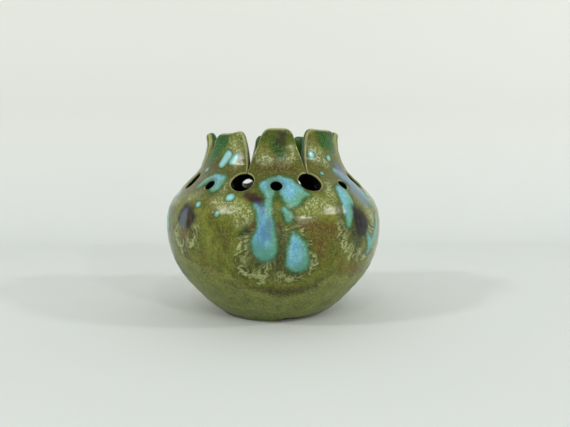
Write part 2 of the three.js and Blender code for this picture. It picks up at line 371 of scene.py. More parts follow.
class Sheet:
    """Points and triangles of the shoulder and petals on the plane."""

    def __init__(self):
        self.points = [to_plane(BELLY_BEARINGS, 0.0)]
        self.distance = [np.full(BELLY_COLUMNS, np.inf)]
        self.count = BELLY_COLUMNS
        self.constraints = pairs(range(BELLY_COLUMNS))
        self.loops = []
        self.add_cuts()
        self.add_partings()
        self.add_rows()
        self.add_filling()
        self.join()

    def add(self, points, distance):
        start = self.count
        self.points.append(points)
        self.distance.append(np.broadcast_to(np.asarray(distance, float), len(points)))
        self.count += len(points)
        return start

    def add_cuts(self):
        outline, ends = collar_outline()
        holes = [small_hole(petal, seed=20 + i) for i, petal in enumerate(COLLAR)]
        for loop in [outline] + holes:
            start = self.add(loop, 0.0)
            self.loops.append(np.arange(start, self.count))
            self.constraints += pairs(range(start, self.count))
        first = self.loops[0][0]
        total = len(outline)
        self.petal_ends = [(first + a, first + b % total) for a, b in ends]
        self.cut_points = np.vstack([outline] + holes)
        self.cut_inward = np.vstack([inward(loop) for loop in [outline] + holes])
        self.tree = KDTree(len(self.cut_points))
        for i, (x, y) in enumerate(self.cut_points):
            self.tree.insert((x, y, 0.0), i)
        self.tree.balance()

    def add_partings(self):
        """The lines across the feet of the petals, where they leave the shoulder."""
        self.partings = []
        near = [edge_row_distance(row, EDGE) for row in range(1, EDGE_ROWS + 1)]
        for (first, last), petal, cut in zip(self.petal_ends, COLLAR, NEXT_CUTS):
            span = (cut.slit - petal.slit) % 360
            length = math.radians(span) * radius_at(SLIT_CLIMB) - 2 * SLIT_HALF_WIDTH
            middle = np.linspace(EDGE, length - EDGE, int((length - 2 * EDGE) / POINT_SPACING) + 1)
            along = np.concatenate([near[:-1], middle, [length - d for d in reversed(near[:-1])]])
            bearing = petal.slit + span * (along + SLIT_HALF_WIDTH) / (length + 2 * SLIT_HALF_WIDTH)
            start = self.add(to_plane(bearing, SLIT_CLIMB), np.minimum(along, length - along))
            line = [first, *range(start, self.count), last]
            self.partings.append(line)
            self.constraints += pairs(line, closed=False)

    def to_cuts(self, point):
        """Distance in mm from a point of the plane to the nearest cut, negative off the clay."""
        found, i, gap = self.tree.find((point[0], point[1], 0.0))
        side = np.dot(point - self.cut_points[i], self.cut_inward[i])
        scale = plane_scale(from_plane(np.asarray(point))[1])
        return math.copysign(gap * scale, side)

    def add_rows(self):
        """Rows of points along the cuts, which shape the rounding of their edges."""
        cut_climb = from_plane(self.cut_points)[1]
        scale = plane_scale(cut_climb)
        for row in range(1, EDGE_ROWS + 1):
            away = edge_row_distance(row, edge_radius(cut_climb))
            candidates = self.cut_points + self.cut_inward * (away / scale)[:, None]
            clear = np.abs(from_plane(candidates)[1] - SLIT_CLIMB) > CLEAR_OF_PARTING
            kept = [i for i, point in enumerate(candidates)
                    if clear[i] and self.to_cuts(point) > CROWDED * away[i]]
            self.add(candidates[kept], away[kept])

    def add_filling(self):
        """Staggered rings of points over the rest of the sheet."""
        kept, distance = [], []
        climb = POINT_SPACING
        offset = 0.5
        top = climb_at(HEIGHT)
        while climb < top:
            columns = int(round(math.tau * radius_at(climb) / POINT_SPACING))
            nearest = edge_radius(climb) + 0.45 * POINT_SPACING
            if abs(climb - SLIT_CLIMB) > 0.45 * POINT_SPACING:
                for point in to_plane((np.arange(columns) + offset) * 360 / columns, climb):
                    gap = self.to_cuts(point)
                    if gap > nearest:
                        kept.append(point)
                        distance.append(gap)
            climb += POINT_SPACING * math.sqrt(3) / 2
            offset = 0.5 - offset
        self.add(np.array(kept), distance)

    def join(self):
        """Triangles between all the points, keeping the cuts and the partings as edges."""
        self.points = np.vstack(self.points)
        self.distance = np.concatenate(self.distance)
        made = delaunay_2d_cdt([tuple(p) for p in self.points], self.constraints, [], 1, 1e-7)
        if any(len(source) != 1 for source in made[3]) or len(made[3]) != len(self.points):
            raise ValueError("two cuts of the collar cross or touch")
        number = np.array([source[0] for source in made[3]])
        triangles = number[np.array(made[2])]
        owner = np.zeros(self.count, int)  # the closed line that a point is on, or 0
        for i, loop in enumerate([np.arange(BELLY_COLUMNS)] + self.loops[1:]):
            owner[loop] = i + 1
        owners = owner[triangles]
        in_hole = (owners[:, 0] > 0) & (owners[:, 0] == owners[:, 1]) & (owners[:, 1] == owners[:, 2])
        self.triangles = triangles[~in_hole]
        self.bearing, self.climb = from_plane(self.points)


sheet = Sheet()


# ---- The glaze's layout ----

# A stroke of glaze is a line of (bearing, height, half width) points.
BLUE_RUNS = [
    # Front: round the small hole, the long run under its left end, two drops on the right.
    [(-1, 64.2, 2), (4, 65, 2.3), (8.5, 63.2, 3.6), (10.4, 59.6, 5.6), (9.8, 57.2, 4.2),
     (9.4, 55.5, 2)],
    [(13, 60.2, 3.2), (18.4, 58.7, 1.2)],
    [(-3.6, 62.4, 3.2), (-2.2, 60.2, 3), (-1.9, 57.4, 1.4), (-2.4, 55.2, 1.7)],
    [(-2.4, 55.2, 1.6), (-3.6, 50, 3.1), (-3.4, 45.6, 3.9), (-4.2, 39.5, 5.4), (-4.1, 37.3, 5.2)],
    [(-8.4, 55, 1.3), (-6, 53, 2.2), (-4.6, 49.5, 2.6)],
    [(9.3, 43.2, 1.2), (9.8, 41, 2.6), (10.8, 37, 4.4), (10.9, 31.6, 5.1)],
    [(5.4, 53.2, 1.3), (7.1, 51.2, 1.9), (6.8, 49, 1.3)],
    # Right.
    [(42.4, 59.6, 3.6), (41.3, 56, 3.9), (40, 52.5, 3.4), (38.9, 49.3, 2.5), (38, 46, 1.5)],
    [(51, 68.4, 2), (55, 66.6, 3), (58.5, 62, 3.6), (61, 57.5, 3.6), (63, 54, 2)],
    [(65.5, 48, 1.6), (65, 43.5, 2), (62, 38.5, 2.4), (57.5, 35, 2.5), (55.5, 33, 1.6)],
    [(51.5, 42.8, 0.8), (53.5, 40, 1.4), (56.5, 36.5, 2.4)],
    # Left: round the small hole, and a run at the far left.
    [(-50, 61.5, 1.3), (-46, 64.2, 2.3), (-40.5, 65.6, 2.4), (-34.8, 64.4, 3.4), (-35, 61.6, 3)],
    [(-72, 50, 2), (-69, 44, 2.4)],
]
DABS = [
    [(31.2, 75.4, 1.9)],
    [(49.2, 74.2, 1.6)],
    [(35.5, 67.4, 1.1)],
    [(-39.8, 71.6, 2.2), (-36.2, 75.4, 2.4)],
    [(-31, 72.4, 1.7), (-28.6, 74.4, 1.8)],
    [(-55.7, 68.9, 1.3)],
    [(-22.4, 57.6, 2.2)],
    [(-40.4, 54.4, 1.6)],
    [(-27.2, 50.9, 1.3)],
]

# Pools of thick glaze on the belly, rimmed by feathery crystals that point away from their middle.
POOLS = [
    dict(middle=(1, 44), strokes=[[(-5, 46, 8), (-7, 36, 9), (-8.5, 31.5, 9.2)],
                                  [(3, 40, 8), (2.5, 29.4, 8.8)], [(9, 40, 6), (11.5, 30.6, 8.8)]]),
    dict(middle=(46, 50), strokes=[[(40, 48, 8.4), (41, 41.5, 9.3), (50, 36.7, 9), (60, 37, 7.5)]]),
    dict(middle=(-47, 52), strokes=[[(-47, 49, 8), (-45, 43, 7.8), (-50, 41, 8.5)]]),
]

# Where khaki flecks have grown in the glaze, with painted highlight: the strokes on the front of the
# belly at 50 to 56 mm up and on the front petal at about 74 mm lie where the lamps' highlights fall,
# and there the pale flecks stand in for those highlights.
FLECKS_AND_HIGHLIGHTS = [
    [(-30, 56, 2), (-21, 54.5, 3.4), (-13, 52, 2.6)],
    [(-12, 51, 2.2), (-15.5, 48, 2)],
    [(15, 53.4, 1.6), (22, 55.5, 2.8), (29, 54.5, 1.4)],
    [(13, 50, 0.8), (18.5, 50.5, 1.4)],
    [(-9.5, 74.5, 1.8), (-3, 73.5, 2)],
    [(12, 73.5, 1.6), (17, 75.5, 1.8)],
    [(-26, 82, 2), (-31, 80, 3), (-27, 71, 1)],
    [(33, 79, 1.6), (37, 75, 3.6), (44, 72, 2)],
    [(-50, 57, 1.5), (-45, 58.5, 1)],
    [(-29, 64, 1.2), (-28, 60, 1)],
    [(34, 62, 2), (32, 57, 1.5)],
    [(56, 51, 1.8), (60, 47, 2)],
    [(62, 30.5, 3), (69, 34, 3)],
]

# Soft stains: colour, strength, softness of their edge in mm, and strokes. These lie under the
# flecks and the blue runs: first painted shade down the pot's left side as the camera sees it,
# then shades of the belly, then the green and olive on and below the petals.
STAINS_AND_SHADE_UNDER = [
    # painted shade: dark olive down the left side, where the pot turns away from the camera
    ((62, 66, 28), 0.6, 6, [[(-72, 56, 5), (-72, 40, 8), (-66, 22, 5)]]),
    ((84, 106, 58), 0.6, 3.5, [[(-24, 6, 2), (2, 5, 3)]]),
    ((76, 76, 32), 0.7, 4, [[(-24, 45, 1), (-22, 36, 2)], [(-62, 60, 2), (-66, 50, 3)]]),
    ((66, 66, 34), 0.9, 3.5, [[(-5, 46, 5), (-7, 33.5, 5.5)], [(3.5, 40, 3), (3, 30, 4.5)],
                              [(11, 31, 5)]]),
    ((68, 64, 24), 0.85, 2.6, [[(-24, 22, 0.5), (-8, 19.3, 1.2), (4, 17.6, 1.6),
                                (22, 19.4, 1.4), (31, 26, 0.5)]]),
    ((92, 72, 24), 0.95, 3.5, [[(11, 47, 1.6), (20, 46, 3.2), (28, 44, 3)],
                               [(22, 40, 3.5), (22, 34, 1.5)]]),
    ((80, 70, 28), 0.9, 2.4, [[(-9, 69.8, 1.6), (3, 69.2, 2.6), (14, 69.2, 1.6)]]),
    ((90, 86, 38), 0.6, 2.6, [[(-23, 69, 1), (-29, 68.5, 1.2)], [(29, 71, 1.2), (44, 68.5, 1.8)]]),
    ((112, 88, 66), 0.85, 2.2, [[(-48.5, 42, 3.8), (-48, 38.2, 2.8)]]),
    ((104, 82, 36), 0.85, 3, [[(34, 28.5, 1), (44, 26, 2), (54, 24, 2)]]),
    ((96, 82, 40), 0.6, 3, [[(-36, 33, 1.5), (-34, 26, 2.5)]]),
    ((40, 96, 52), 0.97, 1.6, [[(-60, 73, 2), (-52, 77.5, 4.2), (-46, 82, 5.2), (-42, 86, 4)]]),
    ((40, 88, 40), 0.97, 1.8, [[(44, 86.5, 4), (50, 82.5, 5.4), (57, 80, 4.6)]]),
    ((74, 90, 32), 0.85, 2.4, [[(-3, 84, 4), (5, 81, 5), (14, 84.5, 3.5)]]),
    ((42, 76, 30), 0.95, 1.6, [[(5, 79.5, 2.8), (6.5, 75, 2.2)]]),
    ((56, 82, 36), 0.85, 1.4, [[(-5, 60, 2.6), (4, 57.6, 3), (14, 56.6, 3)], [(-36, 60.4, 3.4)],
                               [(3, 52, 1.6), (9, 48.5, 1.6)]]),
    ((58, 64, 40), 0.92, 2.2, [[(33.6, 51, 1.2), (34.2, 45.5, 2)], [(40, 44, 2.6), (45, 38.5, 3.4)]]),
]
# These lie over the runs: browns and blacks beside them, and the hues within them.
STAINS_OVER = [
    ((48, 58, 26), 0.9, 1.6, [[(-14.6, 42.8, 1.4), (-11.6, 44.4, 1.6)],
                              [(2.8, 47.5, 0.9), (3.7, 42.5, 1)]]),
    ((84, 50, 28), 0.85, 1, [[(-9.9, 45.4, 0.6), (-8.9, 47, 0.5)], [(2.6, 46.6, 0.4), (3.2, 45, 0.5)]]),
    ((62, 60, 46), 0.9, 1.6, [[(7.2, 80.8, 1.8), (7.8, 83.6, 2.2)]]),
    ((56, 40, 34), 0.95, 1.5, [[(-13.6, 58.6, 1.8), (-9.8, 57.6, 2.5), (-6.8, 56.8, 1.7)]]),
    ((64, 70, 118), 0.75, 1.5, [[(-7.4, 55.6, 0.7), (-5.4, 54.4, 1), (-4.4, 51.6, 0.6)]]),
    ((80, 108, 140), 0.7, 2.4, [[(-2, 47, 1.8), (-4.2, 42.6, 1.8)]]),
    ((82, 136, 122), 0.75, 2.5, [[(-7.5, 38.5, 2.2), (-4, 34.8, 3)], [(13.4, 30, 2.2)]]),
    ((74, 84, 150), 0.55, 2, [[(58, 69.6, 1.8), (64, 68, 1.6)]]),
    ((106, 124, 138), 0.85, 3.2, [[(55, 67, 3), (56.5, 61, 4.8), (57, 56, 4.2)]]),
    ((158, 176, 184), 0.6, 1.4, [[(62.5, 65.5, 0.6), (62, 60, 0.7)]]),
    ((36, 28, 14), 0.95, 1.8, [[(-52.5, 48, 2.2), (-50, 52, 2.8), (-46, 52.2, 2.4),
                                (-43, 48.5, 3), (-45, 45.5, 2.2)]]),
    ((100, 72, 36), 0.7, 1.2, [[(-44.2, 50, 0.2), (-42.6, 47.4, 0.5), (-43.4, 45.2, 0.4)]]),
    ((92, 98, 112), 0.95, 1.4, [[(-48.4, 50.8, 1.6), (-49.6, 48.6, 2.6), (-49.8, 46.4, 2.3)]]),
    ((14, 20, 42), 0.98, 1.8, [[(44.2, 52.2, 2), (46.4, 48.6, 4.4), (48, 45, 5.2)]]),
    ((96, 158, 146), 0.75, 1.5, [[(65.5, 48, 0.6), (65, 43.5, 0.8), (58, 36, 1.6)]]),
]

# The line down to which the pot was dipped a second time: (bearing, height).
DIP_LINE = [
    (-180, 24), (-150, 20), (-120, 26), (-90, 24), (-60, 32), (-47, 30), (-23, 26), (-15, 20),
    (-5, 17.5), (5, 15.5), (12, 15), (18, 18), (30, 25), (47, 22), (75, 27), (105, 22), (140, 27),
    (180, 24),
]

GLOSS = 0.02  # light that the gloss adds to every colour under an even pale sky
DARKEST = 0.003
OUTSIDE_ALL = -1e3  # how far inside no stroke at all a point is


class Place:
    """Points of the wall on the plane, for measuring how far they lie from strokes of glaze."""

    def __init__(self, bearing, climb):
        self.points = to_plane(bearing, climb)
        self.scale = plane_scale(climb)

    def inside_stroke(self, stroke):
        """How many mm the points lie inside a stroke, negative outside it."""
        bearing, height, half_width = np.array(stroke, float).T
        corners = to_plane(bearing, climb_at(height))
        best = half_width[0] - np.linalg.norm(self.points - corners[0], axis=1) * self.scale
        for a, b, wide_a, wide_b in zip(corners, corners[1:], half_width, half_width[1:]):
            along = np.clip((self.points - a) @ (b - a) / ((b - a) @ (b - a)), 0, 1)
            gap = np.linalg.norm(self.points - a - along[:, None] * (b - a), axis=1) * self.scale
            best = np.maximum(best, wide_a + (wide_b - wide_a) * along - gap)
        return best

    def inside(self, strokes, blend=0.8):
        """How many mm inside the union of the strokes, joined with soft corners."""
        best = np.full(len(self.scale), OUTSIDE_ALL)
        for stroke in strokes:
            other = self.inside_stroke(stroke)
            share = np.clip(0.5 + 0.5 * (best - other) / blend, 0, 1)
            best = other + (best - other) * share + blend * share * (1 - share)
        return best


def linear(colour):
    """An sRGB colour, 0 to 255, as linear light."""
    c = np.array(colour) / 255
    return np.where(c <= 0.04045, c / 12.92, ((c + 0.055) / 1.055) ** 2.4)


def under_gloss(colour):
    """The glaze's own colour, from its colour as seen under the light that its gloss adds."""
    return np.maximum(linear(colour) - GLOSS, DARKEST)


def moved(stroke, turn, rise, spread):
    """The same stroke somewhere else round the pot."""
    return [(turn + bearing * spread, height + rise, wide) for bearing, height, wide in stroke]


def add_far_side():
    """Repeats the front's three kinds of motif round the rest of the pot, each a little different."""
    # Runs, dabs, and the bearing of the small hole that they lie round.
    motifs = {
        "front": (BLUE_RUNS[:7], DABS[6:7], 2.0),
        "right": (BLUE_RUNS[7:9], DABS[:3], 48.3),
        "left": (BLUE_RUNS[11:12], DABS[3:8], -41.0),
    }
    kinds = ["front", "right", "left", "front", "left"]
    front_pool = POOLS[0]["strokes"]
    # the front's flecks, with their painted highlights, repeated round the pot
    front_flecks_and_highlights = FLECKS_AND_HIGHLIGHTS[:5]
    for petal, kind in zip(COLLAR[2:7], kinds):
        runs, dabs, centre = motifs[kind]
        spread = rng.uniform(0.88, 1.08)
        rise = rng.uniform(-1.5, 1.5)
        small = petal.small
        turn = small - centre * spread
        BLUE_RUNS.extend([moved(stroke, turn, 0, spread) for stroke in runs])
        DABS.extend([moved(stroke, turn, 0, spread) for stroke in dabs])
        if kind == "front":
            pool = [moved(stroke, turn, rise, spread) for stroke in front_pool]
        else:
            pool = [moved(front_pool[0], small + 5, rise + 5, 1)]
            dark = [(small + 1, 50, 2.6), (small - 1, 45, 2.6)]
            STAINS_OVER.append(((40, 42, 56), 0.85, 2.2, [dark]))
            STAINS_AND_SHADE_UNDER.append(((94, 76, 42), 0.7, 3, [[(small, 39, 3.5)]]))
        first_bearing, first_height, _ = pool[0][0]
        POOLS.append(dict(middle=(first_bearing + 3, first_height), strokes=pool))
        within = [[(bearing, height, 0.6 * wide) for bearing, height, wide in stroke]
                  for stroke in pool]
        STAINS_AND_SHADE_UNDER.append(((62, 64, 30), 0.8, 4.5, within))
        tip = [(small - 6, 84, 3), (small + 5, 81, 3.6)]
        STAINS_AND_SHADE_UNDER.append(((48, 88, 42), 0.9, 2.2, [tip]))
        FLECKS_AND_HIGHLIGHTS.extend([moved(stroke, small - 2, 0, spread) for stroke in front_flecks_and_highlights])


add_far_side()


# ---- The whole surface ----

def relief(place, bearing, climb):
    """How far the outside stands proud: faint throwing rings, and the thickness of the blue runs."""
    rings = RING_DEPTH * np.sin(math.tau * climb / RING_SPACING + np.radians(bearing))
    thick = RUN_THICKNESS * smooth_step(-0.4, 1.6, place.inside(BLUE_RUNS + DABS))
    return rings + thick


def hand_warp(points):
    """The pot isn't quite round or straight."""
    angle = np.arctan2(points[:, 0], -points[:, 1])
    height = points[:, 2] / HEIGHT
    swell = OVAL * np.sin(2 * angle + 0.6) * height
    swell += THREE_SIDED * np.sin(3 * angle + 2 + 2 * height) * height
    out = np.linalg.norm(points[:, :2], axis=1)
    away_from_axis = np.clip(out / 20, 0, 1)
    fleck_and_highlight_area = 1 + swell * away_from_axis / np.maximum(out, 1.0) - SHRINK
    lean = LEAN * (0.45 - height)
    return points * np.column_stack([fleck_and_highlight_area, fleck_and_highlight_area, np.ones(len(points))]) + np.outer(lean, [1, 0, 0])


FAR_FROM_CUTS = 100.0
UNGLAZED = -1  # as a point's "inside", which is otherwise 0 outside the pot to 1 inside it


class Surface:
    """Every point of the pot, what the glaze needs to know of it, and the faces of each piece."""

    def __init__(self):
        self.place, self.facts = [], []
        self.count = 0
        self.faces = {}
        self.caps = {}

    def add(self, place, bearing, climb, edge, inside):
        """Adds points, and returns their numbers. edge is their distance in mm from a cut."""
        total = len(place)
        self.place.append(place)
        facts = [np.broadcast_to(np.asarray(fact, float), total) for fact in (bearing, climb, edge, inside)]
        self.facts.append(np.array(facts))
        self.count += total
        return np.arange(self.count - total, self.count)

    def add_faces(self, piece, faces):
        self.faces.setdefault(piece, []).extend(map(tuple, faces))

    def add_cap(self, piece, faces):
        self.caps.setdefault(piece, []).extend(map(tuple, faces))

    def finish(self):
        """Warps the pot, and works out the normals of its skin without the caps between pieces."""
        self.place = hand_warp(np.vstack(self.place))
        self.bearing, self.climb, self.edge, self.inside = np.hstack(self.facts)
        self.normals = np.zeros_like(self.place)
        for faces in self.faces.values():
            for sides in (3, 4):
                corners = np.array([face for face in faces if len(face) == sides])
                if len(corners):
                    p = self.place[corners]
                    if sides == 3:
                        flat = np.cross(p[:, 1] - p[:, 0], p[:, 2] - p[:, 0])
                    else:
                        flat = np.cross(p[:, 2] - p[:, 0], p[:, 3] - p[:, 1])
                    for corner in range(sides):
                        np.add.at(self.normals, corners[:, corner], flat)
        self.normals /= np.maximum(np.linalg.norm(self.normals, axis=1), 1e-12)[:, None]


def piece_of(bearing, climb):
    """The piece that a point of the sheet belongs to."""
    if climb < SLIT_CLIMB:
        return "shoulder"
    for petal, cut in zip(COLLAR, NEXT_CUTS):
        if (bearing - petal.slit) % 360 < (cut.slit - petal.slit) % 360:
            return petal.name


def add_sheet(surface):
    """The shoulder and the petals, inside and out. Returns the columns of points through the wall."""
    rounding = edge_radius(sheet.climb)
    depth = edge_depth(sheet.distance, rounding)
    place = Place(sheet.bearing, sheet.climb)
    proud = relief(place, sheet.bearing, sheet.climb)
    faces = ((depth - proud, 0), (WALL - depth, 1))
    outer, inner = (surface.add(in_wall(sheet.bearing, sheet.climb, deep), sheet.bearing, sheet.climb,
                                sheet.distance, inside) for deep, inside in faces)
    columns = {i: [outer[i], inner[i]] for i in range(len(outer))}
    for loop in sheet.loops:
        for row in range(1, CUT_ROWS + 1):
            share = row / (CUT_ROWS + 1)
            bearing, climb = sheet.bearing[loop], sheet.climb[loop]
            deep = rounding[loop] + (WALL - 2 * rounding[loop]) * share
            mid = surface.add(in_wall(bearing, climb, deep), bearing, climb, 0, share)
            for i, j in zip(loop, mid):
                columns[i].insert(row, j)

    owner = [piece_of(*from_plane(sheet.points[t].mean(axis=0))) for t in sheet.triangles]
    by_edge = {}
    for (a, b, c), piece in zip(sheet.triangles, owner):
        surface.add_faces(piece, [(outer[a], outer[c], outer[b]), (inner[a], inner[b], inner[c])])
        by_edge.update({(a, b): piece, (b, c): piece, (c, a): piece})
    for loop in sheet.loops:
        for a, b in pairs(loop):
            left, right = columns[a], columns[b]
            strip = [(left[k], right[k], right[k + 1], left[k + 1]) for k in range(CUT_ROWS + 1)]
            surface.add_faces(by_edge[a, b], strip)
    for line in sheet.partings:
        for a, b in pairs(line, closed=False):
            surface.add_cap(by_edge[a, b], [columns[b] + columns[a][::-1]])
            surface.add_cap(by_edge[b, a], [columns[a] + columns[b][::-1]])
    return columns


def spaced(line, spacing):
    """Points this many mm apart along a smooth line through these points, without the first."""
    line = spline(line)
    along = distances(line)
    at = np.linspace(0, along[-1], max(2, int(along[-1] / spacing)) + 1)[1:]
    return np.column_stack([np.interp(at, along, line[:, 0]), np.interp(at, along, line[:, 1])])


def lobe_weight(bearing):
    """1 over a lobe of the foot, 0 between lobes. The front lobe fades in gently on its left."""
    weight = np.zeros(len(bearing))
    for name, middle in LOBES.items():
        off = turn_from(middle, bearing)
        fade = np.where((off < 0) & (name == "foot_front"), 16.0, 4.0)
        weight = np.maximum(weight, smooth_step(-fade, 0, LOBE_HALF_ARC + 1 - np.abs(off)))
    return weight


def between_lobes(points, notch):
    """Raises the underside of the foot to the notch height between the lobes."""
    height = points[:, 2]
    share = 0.5 + 0.5 * np.clip((height - notch) / 0.6, -1, 1)
    points[:, 2] = notch + (height - notch) * share + 0.3 * share * (1 - share) * (notch > 0.01)
    return points


def outer_rings(surface, first):
    """Rings of points from the belly down and under the foot, and each ring's lowest point."""
    bearing = BELLY_BEARINGS
    notch = NOTCH_HEIGHT * (1 - lobe_weight(bearing))
    rings, lowest = [first], [BELLY_HEIGHT]
    for climb in np.linspace(0, wall_climb[0], int(-wall_climb[0]))[1:]:
        here = np.full(BELLY_COLUMNS, climb)
        fading = smooth_step(wall_climb[0], wall_climb[0] + 4, climb)
        proud = relief(Place(bearing, here), bearing, here) * fading
        points = between_lobes(in_wall(bearing, here, -proud), notch)
        rings.append(surface.add(points, bearing, climb, FAR_FROM_CUTS, 0))
        lowest.append(points[:, 2].min())
    for radius, height in spaced(FOOT_OUTLINE, FOOT_SPACING)[:-1]:
        points = between_lobes(turned(bearing, radius, height + 0 * bearing), notch)
        rings.append(surface.add(points, bearing, wall_climb[0], FAR_FROM_CUTS, UNGLAZED))
        lowest.append(points[:, 2].min() if radius > RIM_OF_RECESS else BELLY_HEIGHT)
    return rings, lowest


def inner_rings(surface, first):
    """Rings of points from the belly down the inside to the floor."""
    rings = [first]
    for radius, height in spaced(INSIDE_OUTLINE, INSIDE_SPACING)[:-1]:
        points = turned(BELLY_BEARINGS, radius, height + 0 * BELLY_BEARINGS)
        rings.append(surface.add(points, BELLY_BEARINGS, 0, FAR_FROM_CUTS, 1))
    return rings


def lobe_at(column):
    """The lobe that a column of the bowl's cells stands on, or None."""
    bearing = (column + 0.5) * 360 / BELLY_COLUMNS
    for name, middle in LOBES.items():
        if abs(turn_from(middle, bearing)) < LOBE_HALF_ARC:
            return name
    return None


def add_bowl(surface, columns):
    """The bowl and the lobes of its foot."""
    ring = pairs(range(BELLY_COLUMNS))
    outer, lowest = outer_rings(surface, np.array([columns[i][0] for i, _ in ring]))
    inner = inner_rings(surface, np.array([columns[i][-1] for i, _ in ring]))
    under_middle = np.array([[0, 0, FOOT_OUTLINE[-1][1]]])
    floor_middle = np.array([[0, 0, INSIDE_OUTLINE[-1][1]]])
    under = surface.add(under_middle, 0, wall_climb[0], FAR_FROM_CUTS, UNGLAZED)[0]
    floor = surface.add(floor_middle, 0, 0, FAR_FROM_CUTS, 1)[0]
    for (upper, lower), heights in zip(pairs(outer, closed=False), pairs(lowest, closed=False)):
        on_lobe = max(heights) < NOTCH_HEIGHT - 0.2
        for i, j in ring:
            lobe = lobe_at(i) if on_lobe else None
            surface.add_faces(lobe or "bowl", [(upper[i], lower[i], lower[j], upper[j])])
    for upper, lower in pairs(inner, closed=False):
        surface.add_faces("bowl", [(upper[i], upper[j], lower[j], lower[i]) for i, j in ring])
    surface.add_faces("bowl", [(outer[-1][i], under, outer[-1][j]) for i, j in ring])
    surface.add_faces("bowl", [(inner[-1][i], inner[-1][j], floor) for i, j in ring])
    for i, j in ring:
        surface.add_cap("bowl", [columns[j] + columns[i][::-1]])
        surface.add_cap("shoulder", [columns[i] + columns[j][::-1]])


def close_lobes(surface):
    """Lids between each lobe and the bowl above it."""
    for name in LOBES:
        edges = {edge for face in surface.faces[name] for edge in pairs(face)}
        rim = [edge for edge in edges if edge[::-1] not in edges]
        corners = sorted({a for a, _ in rim})
        middle = np.vstack(surface.place)[corners].mean(axis=0)
        centre = surface.add(middle[None], 0, 0, FAR_FROM_CUTS, 0)[0]
        surface.add_cap(name, [(b, a, centre) for a, b in rim])
        surface.add_cap("bowl", [(a, b, centre) for a, b in rim])


surface = Surface()
sheet_columns = add_sheet(surface)
add_bowl(surface, sheet_columns)
close_lobes(surface)
surface.finish()


# ---- Glaze attributes ----

STREAKS = 19.0  # fineness of the feathers round a pool
BORES_END = 70.5  # height of the top of the large holes


def stain_and_shade_colours(place, stains):
    """Stains laid over one another, the painted shade among them, as colour already weighted by
    strength, and strength.
    """
    colour = np.zeros((len(place.scale), 3))
    strength = np.zeros(len(place.scale))
    for shade, most, softness, strokes in stains:
        share = most * smooth_step(-softness, softness, place.inside(strokes))
        colour = colour * (1 - share[:, None]) + under_gloss(shade) * share[:, None]
        strength = strength * (1 - share) + share
    return np.column_stack([colour, strength])


def glaze_attributes():
    """What the glaze material needs to know at each point, by attribute name. Lengths are in mm."""
    place = Place(surface.bearing, surface.climb)
    height = height_at(surface.climb)
    depth = np.full(surface.count, OUTSIDE_ALL)
    streak = np.zeros(surface.count)
    for pool in POOLS:
        bearing, middle_height = pool["middle"]
        middle = to_plane(np.array(bearing), climb_at(middle_height))
        away = place.points - middle
        turn = np.arctan2(away[:, 1], away[:, 0]) - math.radians(bearing)
        mine = place.inside(pool["strokes"], blend=5.0)
        nearer = mine > depth
        depth = np.where(nearer, mine, depth)
        streak = np.where(nearer, (turn + math.pi) % math.tau * STREAKS, streak)
    right = np.degrees(1.2 / radius_at(surface.climb))
    below_right = Place(surface.bearing + right, surface.climb - 1.8)
    dip_bearing, dip_height = np.array(DIP_LINE, float).T
    in_wall_of_hole = smooth_step(0, 0.1, surface.inside) * smooth_step(5, 1, surface.edge)
    return {
        "blue": place.inside(BLUE_RUNS),
        "thick": below_right.inside(BLUE_RUNS),
        "dab": place.inside(DABS),
        # khaki flecks, and painted highlight where they lie at the front's highlights
        "fleck_and_highlight": smooth_step(-2.5, 2.5, place.inside(FLECKS_AND_HIGHLIGHTS, blend=2.0)),
        "pool": depth,
        "streak": streak,
        "feather": 1 - smooth_step(43, 52, height),
        "above_dip": height - np.interp(turn_from(0, surface.bearing), dip_bearing, dip_height),
        "edge": np.minimum(surface.edge, 30),
        "inside": np.clip(surface.inside, 0, 1),
        "bare": np.clip(-surface.inside, 0, 1),
        # painted shadow on the walls of the holes, up to the top of the large holes
        "bore_shadow": in_wall_of_hole * (height < BORES_END),
        "collar": smooth_step(69, 74, height),
        "neck": smooth_step(56, 62, height) * smooth_step(79, 73, height),
        "under": stain_and_shade_colours(place, STAINS_AND_SHADE_UNDER),
        "over": stain_and_shade_colours(place, STAINS_OVER),
    }


# ---- Materials ----

# Colours as seen, in sRGB from 0 to 255.
OLIVE = (110, 119, 50)
BROWN_OLIVE = (98, 99, 38)
MOTTLE = (76, 78, 28)
BELOW_DIP = (108, 116, 60)
DIP_BORDER = (128, 132, 74)
PALE_VEIL = (134, 136, 66)
DARK_VEIL = (70, 70, 26)
NECK = (78, 78, 33)
PALE_GRAIN = (146, 152, 90)
DARK_GRAIN = (60, 64, 28)
# pale flecks, and painted highlight where they lie at the front's highlights
FLECK_AND_HIGHLIGHT_HAZE = (124, 130, 84)
FLECK_AND_HIGHLIGHT = (168, 176, 132)
FEATHER_SHADOW = (62, 64, 30)
FEATHER = (128, 136, 82)
PALE_FEATHER = (164, 172, 122)
RUN_OUTLINE = (58, 80, 38)
RUN_RIM = (72, 116, 82)
SKY = (110, 170, 186)
DEEP_SKY = (98, 156, 188)
PALE_STREAK = (158, 206, 208)
DARK_STREAK = (84, 140, 160)
TEAL = (82, 136, 112)
PALE_TEAL = (116, 168, 142)
DARK_BLUE_GRAIN = (66, 108, 112)
PALE_BLUE_GRAIN = (158, 204, 204)
DAB_OUTLINE = (54, 74, 34)
DAB_RIM = (90, 138, 116)
DAB = (146, 196, 196)
# the inside of the pot below the collar, near black: painted shade
INSIDE_SHADE = (34, 42, 18)
INSIDE_COLLAR = (52, 84, 42)
# painted shade: darker for about 0.8 to 2.6 mm behind each cut edge
EDGE_PAINTED_SHADE = (66, 70, 28)
# pale where the glaze thins over a cut edge, and partly painted highlight where the rounded edge catches
# the light
THIN_GLAZE_AND_HIGHLIGHT = (156, 158, 102)
